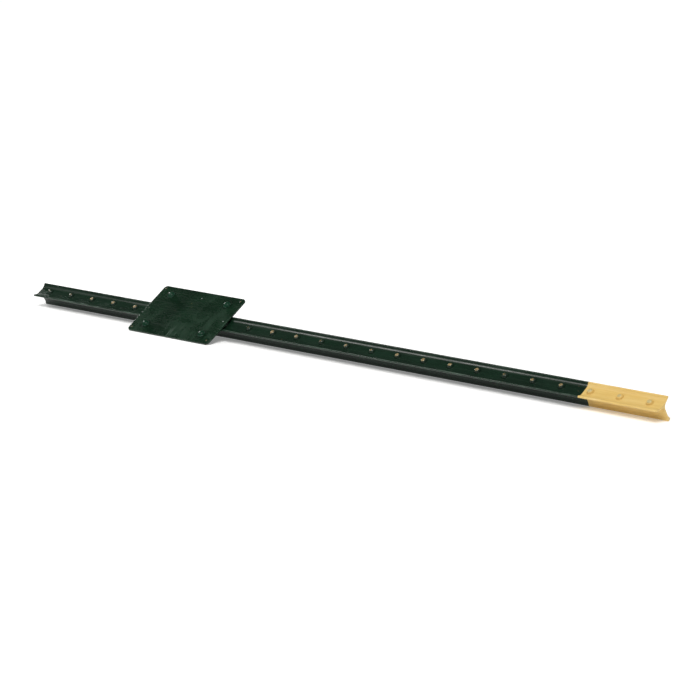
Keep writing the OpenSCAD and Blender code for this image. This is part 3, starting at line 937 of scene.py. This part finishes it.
def rivet_material():
    m = Mat("rivet_enamel")
    ridge, hollow, tip = m.attr("ridge"), m.attr("hollow"), m.attr("tip")
    col, rough, streak, cloud, fine = green_coat(m, (0.0037, 0.0245, 0.0122), (0.0057, 0.0345, 0.0177), (0.015, 0.040, 0.027))
    # a rubbed, lighter crown and edge, partly worn paint and partly a painted highlight
    ragged = m.noise(m.local((350, 350, 350), (0.2, 0.7, 0)), 1.0, 3, 0.6)
    rub = m.math("MULTIPLY", m.math("MAXIMUM", m.math("MULTIPLY", tip, 0.8), ridge), m.step(ragged, 0.50, 0.66))
    col = m.mix(m.math("MULTIPLY", rub, 0.60), col, (0.130, 0.205, 0.160))
    # dust on the flanks of the dome, which also paints a highlight on the rim
    dust_and_rim_highlight = m.math("MULTIPLY", m.step(ridge, 0.02, 0.8), m.step(m.noise(m.local((90, 90, 90), (0.5, 0.5, 0)), 1.0, 3, 0.55), 0.36, 0.62))
    col = m.mix(m.math("MULTIPLY", dust_and_rim_highlight, 0.25), col, (0.050, 0.092, 0.070))
    # darker at the foot of the head, where it meets the plate: painted shade
    col = m.mix(m.math("MULTIPLY", hollow, 0.8), col, (0.0015, 0.0060, 0.0035))
    m.link(col, m.p.inputs["Base Color"])
    m.link(m.math("ADD", m.math("MULTIPLY", rough, 0.4), 0.17), m.p.inputs["Roughness"])
    m.p.inputs["Specular IOR Level"].default_value = 0.10
    m.p.inputs["Coat Weight"].default_value = 0.0
    m.p.inputs["Coat Roughness"].default_value = 0.12
    peel = m.noise(m.local((260, 260, 260), (0, 0.3, 0)), 1.0, 2, 0.5)
    m.link(m.bump(peel, 0.10, 0.00010), m.p.inputs["Normal"])
    return m.m


# ---------------------------------------------------------------- camera
AZ, EL, LENS_PX, SPAN_PX = math.radians(41.7), math.radians(12.0), 2730.0, 640.0
back = Vector((math.sin(AZ) * math.cos(EL), -math.cos(AZ) * math.cos(EL), math.sin(EL)))
right = Vector((math.cos(AZ), math.sin(AZ), 0))
up = back.cross(right)


def framed(points):
    """Where the camera stands, looking along -back, so that the points fill the frame."""
    dist, cx, cy = 4.5, 0.0, 0.0
    for _ in range(40):
        x, y = [], []
        for p in points:
            d = dist - p.dot(back)
            x.append(LENS_PX * (p.dot(right) - cx) / d)
            y.append(LENS_PX * (p.dot(up) - cy) / d)
        cx += (max(x) + min(x)) / 2 * dist / LENS_PX
        cy += (max(y) + min(y)) / 2 * dist / LENS_PX
        dist *= (max(x) - min(x)) / SPAN_PX
    return back * dist + right * cx + up * cy


lo, hi = (Vector(c) for c in cad_box)
corners = [Vector((x, y, z)) for x in (lo.x, hi.x) for y in (-0.02, 0.02) for z in (0.0, 0.055)]
cam = bpy.data.objects.new("camera", bpy.data.cameras.new("camera"))
cam.data.sensor_width = 36.0
cam.data.sensor_fit = "HORIZONTAL"
cam.data.lens = 36.0 * LENS_PX / 700.0
cam.data.clip_start, cam.data.clip_end = 0.05, 200
cam.location = framed(corners)
cam.rotation_euler = back.to_track_quat("Z", "Y").to_euler()
scene.collection.objects.link(cam)
scene.camera = cam

# ---------------------------------------------------------------- floor and light
floor_mesh = bpy.data.meshes.new("floor")
floor_mesh.from_pydata([(-40, -40, -0.0002), (40, -40, -0.0002), (40, 40, -0.0002), (-40, 40, -0.0002)], [], [(0, 1, 2, 3)])
floor = bpy.data.objects.new("floor", floor_mesh)
scene.collection.objects.link(floor)
fm = Mat("floor_pale")
fm.link(fm.mix(fm.step(fm.noise(fm.obj, 0.6, 2), 0.3, 0.7), (0.90, 0.90, 0.90), (0.93, 0.93, 0.93)), fm.p.inputs["Base Color"])
fm.p.inputs["Roughness"].default_value = 0.75
fm.p.inputs["Specular IOR Level"].default_value = 0.15
fm.p.inputs["Emission Color"].default_value = (1, 1, 1, 1)
fm.p.inputs["Emission Strength"].default_value = 0.24
floor_mesh.materials.append(fm.m)

world = bpy.data.worlds.new("studio")
world.use_nodes = True
world.node_tree.nodes["Background"].inputs[0].default_value = (0.97, 0.985, 1.0, 1)
world.node_tree.nodes["Background"].inputs[1].default_value = 0.08
scene.world = world


def aim(obj, direction):
    obj.rotation_euler = Vector(direction).to_track_quat("Z", "Y").to_euler()
    scene.collection.objects.link(obj)
    return obj


def sun(name, direction, power, spread, colour=(1, 1, 1)):
    data = bpy.data.lights.new(name, "SUN")
    data.energy, data.angle, data.color = power, math.radians(spread), colour
    return aim(bpy.data.objects.new(name, data), direction)


def area(name, place, size, power, colour=(1, 1, 1)):
    data = bpy.data.lights.new(name, "AREA")
    data.shape = "RECTANGLE"
    data.size, data.size_y = size
    data.energy, data.color = power, colour
    o = bpy.data.objects.new(name, data)
    o.location = place
    return aim(o, place)


sun("overhead", (0.28, -0.46, 0.84), 2.85, 40, (1.0, 0.995, 0.98))
area("key", (-2.6, -2.2, 2.6), (0.9, 0.6), 34, (1.0, 0.99, 0.97))
area("glint", (-4.1, 1.65, 1.25), (0.8, 0.7), 46, (1.0, 0.99, 0.97))
sun("fill", (0.30, 0.86, 0.42), 0.55, 60, (0.97, 0.985, 1.0))

# ---------------------------------------------------------------- pieces
post_mat, plate_mat, strip_mat, rivet_mat = post_material(), plate_material(), strip_material(), rivet_material()


def finish_piece(obj, mat, node):
    obj.data.materials.append(mat)
    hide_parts(node)
    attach(obj, "root")


finish_piece(build_post(), post_mat, "post")
finish_piece(build_plate(), plate_mat, "anchor_plate")
finish_piece(build_strip("strip_upper", 1), strip_mat, "clamp_strip_upper")
finish_piece(build_strip("strip_lower", -1), strip_mat, "clamp_strip_lower")
for n, (key, (sx, sy)) in enumerate(rivet_places().items()):
    finish_piece(build_rivet("rivet_head_" + key, sx, sy, 11 + 5 * n), rivet_mat, "rivet_" + key)
